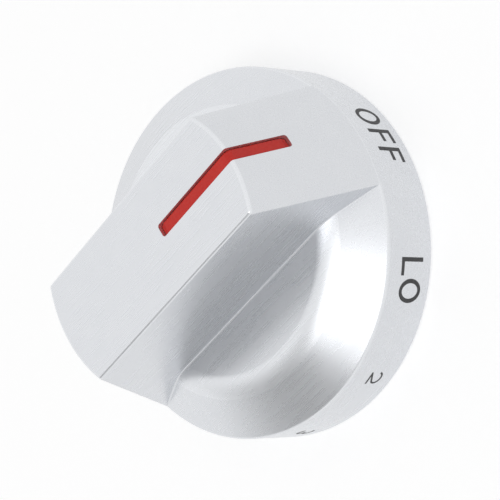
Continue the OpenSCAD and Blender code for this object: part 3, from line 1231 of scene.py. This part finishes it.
class Effects:
    """Shader effects that several finishes share, each built once as a node group."""

    def __init__(self) -> None:
        """Builds the groups."""
        self.grain = self.make_grain()
        self.wipe = self.make_wipe()
        self.edges = self.make_painted_edge_highlight()

    @staticmethod
    def make_grain() -> bpy.types.NodeTree:
        """Fine grain over a slow unevenness, as a mask and a height."""
        group, sheet, given, taken = new_group(
            "moulded_grain", {"Fine": 9.0, "Slow": 0.35, "Slow share": 0.4}, ["Mask", "Height"]
        )
        place = sheet.millimetres()
        fine = sheet.add("ShaderNodeTexNoise", {"Vector": place, "Scale": given["Fine"], "Detail": 3.0})
        slow = sheet.add("ShaderNodeTexNoise", {"Vector": place, "Scale": given["Slow"], "Detail": 2.0})
        share = sheet.maths("SUBTRACT", 1.0, given["Slow share"])
        mixed = sheet.maths(
            "MULTIPLY_ADD", fine.outputs[0], share, sheet.maths("MULTIPLY", slow.outputs[0], given["Slow share"])
        )
        mask = sheet.spread(mixed, 0.3, 0.7, 0.0, 1.0)
        group.links.new(mask, taken["Mask"])
        group.links.new(mixed, taken["Height"])
        return group

    @staticmethod
    def make_wipe() -> bpy.types.NodeTree:
        """Long faint marks from wiping and turning, as a mask."""
        group, sheet, given, taken = new_group("wipe_marks", {"Length": 0.12, "Spacing": 2.2}, ["Mask"])
        place = sheet.millimetres()
        stretch = sheet.add(
            "ShaderNodeCombineXYZ", {0: given["Spacing"], 1: given["Length"], 2: given["Spacing"]}
        ).outputs[0]
        drawn = sheet.add("ShaderNodeVectorMath", {0: place, 1: stretch}, operation="MULTIPLY").outputs[0]
        noise = sheet.add("ShaderNodeTexNoise", {"Vector": drawn, "Scale": 1.0, "Detail": 4.0, "Distortion": 0.3})
        mask = sheet.spread(noise.outputs[0], 0.42, 0.68, 0.0, 1.0)
        group.links.new(mask, taken["Mask"])
        return group

    @staticmethod
    def make_painted_edge_highlight() -> bpy.types.NodeTree:
        """Painted highlight along the roundings, broken up a little, as a mask."""
        group, sheet, given, taken = new_group("painted_edge_sheen", {"Break up": 0.5}, ["Mask"])
        # painted highlight weight of the roundings, read from the mesh
        edge = sheet.add("ShaderNodeAttribute", attribute_name=HIGHLIGHT_LAYER).outputs["Fac"]
        noise = sheet.add("ShaderNodeTexNoise", {"Vector": sheet.millimetres(), "Scale": 1.3, "Detail": 3.0})
        breakup = sheet.maths("MULTIPLY", noise.outputs[0], given["Break up"])
        mask = sheet.maths("MULTIPLY", edge, sheet.maths("SUBTRACT", 1.0, breakup))
        group.links.new(mask, taken["Mask"])
        return group


@dataclass(frozen=True)
class Finish:
    """A finish made of a base colour that varies with the grain, wiping marks and bump, and that can be painted
    lighter on the roundings as a highlight.
    """

    name: str
    dark: Triple
    light: Triple
    roughness: Pair
    metallic: float = 0.0
    specular: float = 0.5
    fine: float = 9.0
    slow: float = 0.35
    slow_share: float = 0.4
    bump_mm: float = 0.004
    bump_strength: float = 0.25
    wipe_length: float = 0.12
    wipe_spacing: float = 2.2
    # share by which the roundings' colour is lightened as a painted highlight
    edge_highlight_paint: float = 0.0
    coat: float = 0.0

    def build(self, effects: Effects) -> bpy.types.Material:
        """Makes the material.

        Args:
            effects: The shared node groups.

        Returns:
            The material.
        """
        material = bpy.data.materials.new(self.name)
        material.use_nodes = True
        tree = material.node_tree
        tree.nodes.clear()
        sheet = NodeSheet(tree)
        grain = sheet.add(
            "ShaderNodeGroup",
            node_tree=effects.grain,
        )
        grain.inputs["Fine"].default_value = self.fine
        grain.inputs["Slow"].default_value = self.slow
        grain.inputs["Slow share"].default_value = self.slow_share
        wipe = sheet.add("ShaderNodeGroup", node_tree=effects.wipe)
        wipe.inputs["Length"].default_value = self.wipe_length
        wipe.inputs["Spacing"].default_value = self.wipe_spacing
        colour = sheet.blend(grain.outputs["Mask"], (*self.dark, 1.0), (*self.light, 1.0))
        # painted highlight: the colour is lightened along the roundings
        if self.edge_highlight_paint > 0:
            edges = sheet.add("ShaderNodeGroup", node_tree=effects.edges)
            highlight_colour = tuple(min(1.0, c * (1 + self.edge_highlight_paint)) for c in self.light)
            colour = sheet.blend(edges.outputs["Mask"], colour, (*highlight_colour, 1.0))
        roughness = sheet.spread(wipe.outputs["Mask"], 0.0, 1.0, self.roughness[0], self.roughness[1])
        bump = sheet.add(
            "ShaderNodeBump",
            {"Strength": self.bump_strength, "Distance": self.bump_mm * MM, "Height": grain.outputs["Height"]},
        )
        shader = sheet.add(
            "ShaderNodeBsdfPrincipled",
            {"Base Color": colour, "Roughness": roughness, "Normal": bump.outputs[0], "Metallic": self.metallic},
        )
        shader.inputs["Specular IOR Level"].default_value = self.specular
        shader.inputs["Coat Weight"].default_value = self.coat
        shader.inputs["Coat Roughness"].default_value = 0.12
        sheet.add("ShaderNodeOutputMaterial", {"Surface": shader.outputs[0]})
        return material


# the silver's roundings are painted 6% lighter as a highlight
SILVER = Finish(
    "silver_lacquer", (0.715, 0.73, 0.76), (0.75, 0.765, 0.79), (0.27, 0.31), metallic=0.85, bump_strength=0.12, edge_highlight_paint=0.06
)
INSIDE = Finish("moulded_inside", (0.34, 0.345, 0.355), (0.40, 0.405, 0.415), (0.42, 0.55), fine=5.0, bump_mm=0.02)
RED = Finish("red_gloss", (0.66, 0.018, 0.012), (0.76, 0.035, 0.022), (0.16, 0.26), specular=0.3, fine=3.0, bump_mm=0.003)
STEEL = Finish(
    "spring_steel", (0.42, 0.42, 0.43), (0.56, 0.56, 0.57), (0.24, 0.42), metallic=1.0, wipe_length=0.3, wipe_spacing=9.0
)
INK = Finish("dark_ink", (0.028, 0.028, 0.030), (0.055, 0.055, 0.058), (0.5, 0.62), fine=12.0, bump_mm=0.006)


# ---- stage ----


@dataclass(frozen=True)
class Camera:
    """The photograph's viewing point."""

    position: Triple = (85.258, 97.937, 157.468)
    aim: Triple = (1.602, 2.384, 9.554)
    up: Triple = (-0.76728, 0.64101, 0.01985)
    focal_px: float = 1466.83
    frame_px: float = 500.0
    sensor: float = 36.0

    def build(self) -> bpy.types.Object:
        """Makes the camera and hands it to the scene."""
        data = bpy.data.cameras.new("camera")
        data.sensor_width = self.sensor
        data.lens = self.sensor * self.focal_px / self.frame_px
        data.clip_start, data.clip_end = 0.01, 20
        camera = bpy.data.objects.new("camera", data)
        back = (Vector(self.position) - Vector(self.aim)).normalized()
        right = Vector(self.up).cross(back).normalized()
        up = back.cross(right)
        turn = Matrix((right, up, back)).transposed().to_4x4()
        camera.matrix_world = Matrix.Translation(Vector(self.position) * MM) @ turn
        bpy.context.scene.collection.objects.link(camera)
        bpy.context.scene.camera = camera
        return camera


@dataclass(frozen=True)
class Lamp:
    """A square soft light. Its direction is seen from the knob, azimuth 0 at +Y and 90 at +X."""

    name: str
    azimuth: float
    elevation: float
    distance: float
    size: Pair
    radiance: float
    colour: Triple = (1.0, 1.0, 1.0)

    def build(self) -> bpy.types.Object:
        """Makes the lamp, turned towards the knob."""
        data = bpy.data.lights.new(self.name, "AREA")
        data.shape = "RECTANGLE"
        data.size, data.size_y = self.size
        data.color = self.colour
        data.energy = self.radiance * math.pi * self.size[0] * self.size[1]
        lamp = bpy.data.objects.new(self.name, data)
        a, e = math.radians(self.azimuth), math.radians(self.elevation)
        towards = Vector((math.sin(a) * math.cos(e), math.cos(a) * math.cos(e), math.sin(e)))
        lamp.location = towards * self.distance
        lamp.rotation_mode = "QUATERNION"
        lamp.rotation_quaternion = towards.to_track_quat("Z", "Y")
        bpy.context.scene.collection.objects.link(lamp)
        return lamp


@dataclass
class Studio:
    """White table, white surroundings and soft lamps."""

    table_r: float = 4.0
    table_z: float = -0.00005
    table_tone: float = 0.8
    table_glow: float = 0.45
    fill: float = 0.55
    reflected: float = 1.05
    screen_towards: Triple = (0.451, -0.541, 0.710)
    screen_inner_deg: float = 12.0
    screen_outer_deg: float = 38.0
    screen_depth: float = 0.65
    lamps: tuple[Lamp, ...] = (Lamp("soft_overhead", 98.0, 72.0, 1.2, (0.65, 0.65), 1.5),)

    def build(self) -> None:
        """Builds the table, the surroundings and the lamps."""
        self.build_table()
        self.build_surroundings()
        for lamp in self.lamps:
            lamp.build()
        bpy.context.scene.view_settings.view_transform = "Standard"

    def build_table(self) -> None:
        """Makes a round table top, white to the camera but with the knob's shadow."""
        mesh = bpy.data.meshes.new("table")
        rim = [
            (self.table_r * math.cos(a), self.table_r * math.sin(a), self.table_z)
            for a in np.linspace(0, 2 * math.pi, 64, endpoint=False)
        ]
        mesh.from_pydata(rim, [], [tuple(range(64))])
        table = bpy.data.objects.new("table", mesh)
        bpy.context.scene.collection.objects.link(table)
        material = bpy.data.materials.new("table_top")
        material.use_nodes = True
        tree = material.node_tree
        tree.nodes.clear()
        sheet = NodeSheet(tree)
        tone = (self.table_tone,) * 3 + (1.0,)
        matt = sheet.add("ShaderNodeBsdfDiffuse", {"Color": tone})
        path = sheet.add("ShaderNodeLightPath")
        seen = sheet.maths("MAXIMUM", path.outputs["Is Camera Ray"], path.outputs["Is Glossy Ray"])
        seen = sheet.maths("MAXIMUM", seen, path.outputs["Is Transmission Ray"])
        glow = sheet.add(
            "ShaderNodeEmission",
            {"Color": (1.0, 1.0, 1.0, 1.0), "Strength": sheet.maths("MULTIPLY", seen, self.table_glow)},
        )
        both = sheet.add("ShaderNodeAddShader", {0: matt.outputs[0], 1: glow.outputs[0]})
        sheet.add("ShaderNodeOutputMaterial", {"Surface": both.outputs[0]})
        mesh.materials.append(material)

    def build_surroundings(self) -> None:
        """Makes the surroundings: white, a softer fill as light, and a grey screen that is reflected."""
        world = bpy.data.worlds.new("studio")
        world.use_nodes = True
        tree = world.node_tree
        tree.nodes.clear()
        sheet = NodeSheet(tree)
        path = sheet.add("ShaderNodeLightPath")
        seen = sheet.maths("MAXIMUM", path.outputs["Is Camera Ray"], path.outputs["Is Glossy Ray"])
        seen = sheet.maths("MAXIMUM", seen, path.outputs["Is Transmission Ray"])
        way = sheet.add("ShaderNodeTexCoord").outputs["Generated"]
        facing = sheet.add("ShaderNodeVectorMath", {0: way, 1: self.screen_towards}, operation="DOT_PRODUCT")
        outer, inner = (math.cos(math.radians(a)) for a in (self.screen_outer_deg, self.screen_inner_deg))
        screen = sheet.spread(facing.outputs["Value"], outer, inner, 0.0, self.screen_depth)
        shown = sheet.maths("SUBTRACT", self.reflected, screen)
        strength = sheet.maths("ADD", self.fill, sheet.maths("MULTIPLY", seen, sheet.maths("SUBTRACT", shown, self.fill)))
        glow = sheet.add("ShaderNodeBackground", {"Color": (1.0, 1.0, 1.0, 1.0), "Strength": strength})
        sheet.add("ShaderNodeOutputWorld", {"Surface": glow.outputs[0]})
        bpy.context.scene.world = world


class Knob:
    """The whole knob: builds each piece, dresses it and ties it to the frame."""

    def __init__(self, effects: Effects) -> None:
        """Makes the finishes."""
        self.silver = SILVER.build(effects)
        self.inside = INSIDE.build(effects)
        self.red = RED.build(effects)
        self.steel = STEEL.build(effects)
        self.ink = INK.build(effects)

    @staticmethod
    def place(piece: bpy.types.Object, slot: Slot | None = None, node: str | None = None) -> None:
        """Ties a piece to the body, hides the imported node it stands for, and reports it."""
        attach(piece, BODY)
        if node is not None:
            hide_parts(node)
        LOG.info("%s: %d faces", piece.name, len(piece.data.polygons))

    def build_shell(self) -> Shell:
        """Builds the shell, lacquered outside and bare inside."""
        shell = Shell()
        piece = shell.build()
        mesh = piece.data
        mesh.materials.clear()
        mesh.materials.append(self.silver)
        mesh.materials.append(self.inside)
        inner = read_layer(mesh, INNER_LAYER, 1)
        starts = np.zeros(len(mesh.polygons), np.int32)
        mesh.polygons.foreach_get("loop_start", starts)
        mesh.polygons.foreach_set("material_index", (inner[starts] > 0.5).astype(np.int32))
        mesh.update()
        self.place(piece, Slot.SILVER, "knob_body")
        return shell

    def build(self) -> None:
        """Builds every piece."""
        shell = self.build_shell()
        strip = PointerStrip(shell.channel)
        for piece, node in ((strip.build(), "pointer_insert"), (strip.build_pegs(), None)):
            piece.data.materials.append(self.red)
            self.place(piece, Slot.RED, node)
        spring = ShaftSpring().build()
        spring.data.materials.append(self.steel)
        self.place(spring, Slot.STEEL, "shaft_spring")
        for sign in DialPrint(shell.dial).build():
            sign.data.materials.clear()
            sign.data.materials.append(self.ink)
            self.place(sign)


def main() -> None:
    """Builds the stage and the knob."""
    logging.basicConfig(level=logging.INFO, format="%(name)s: %(message)s")
    Camera().build()
    Studio().build()
    Knob(Effects()).build()


if __name__ == "__main__":
    main()
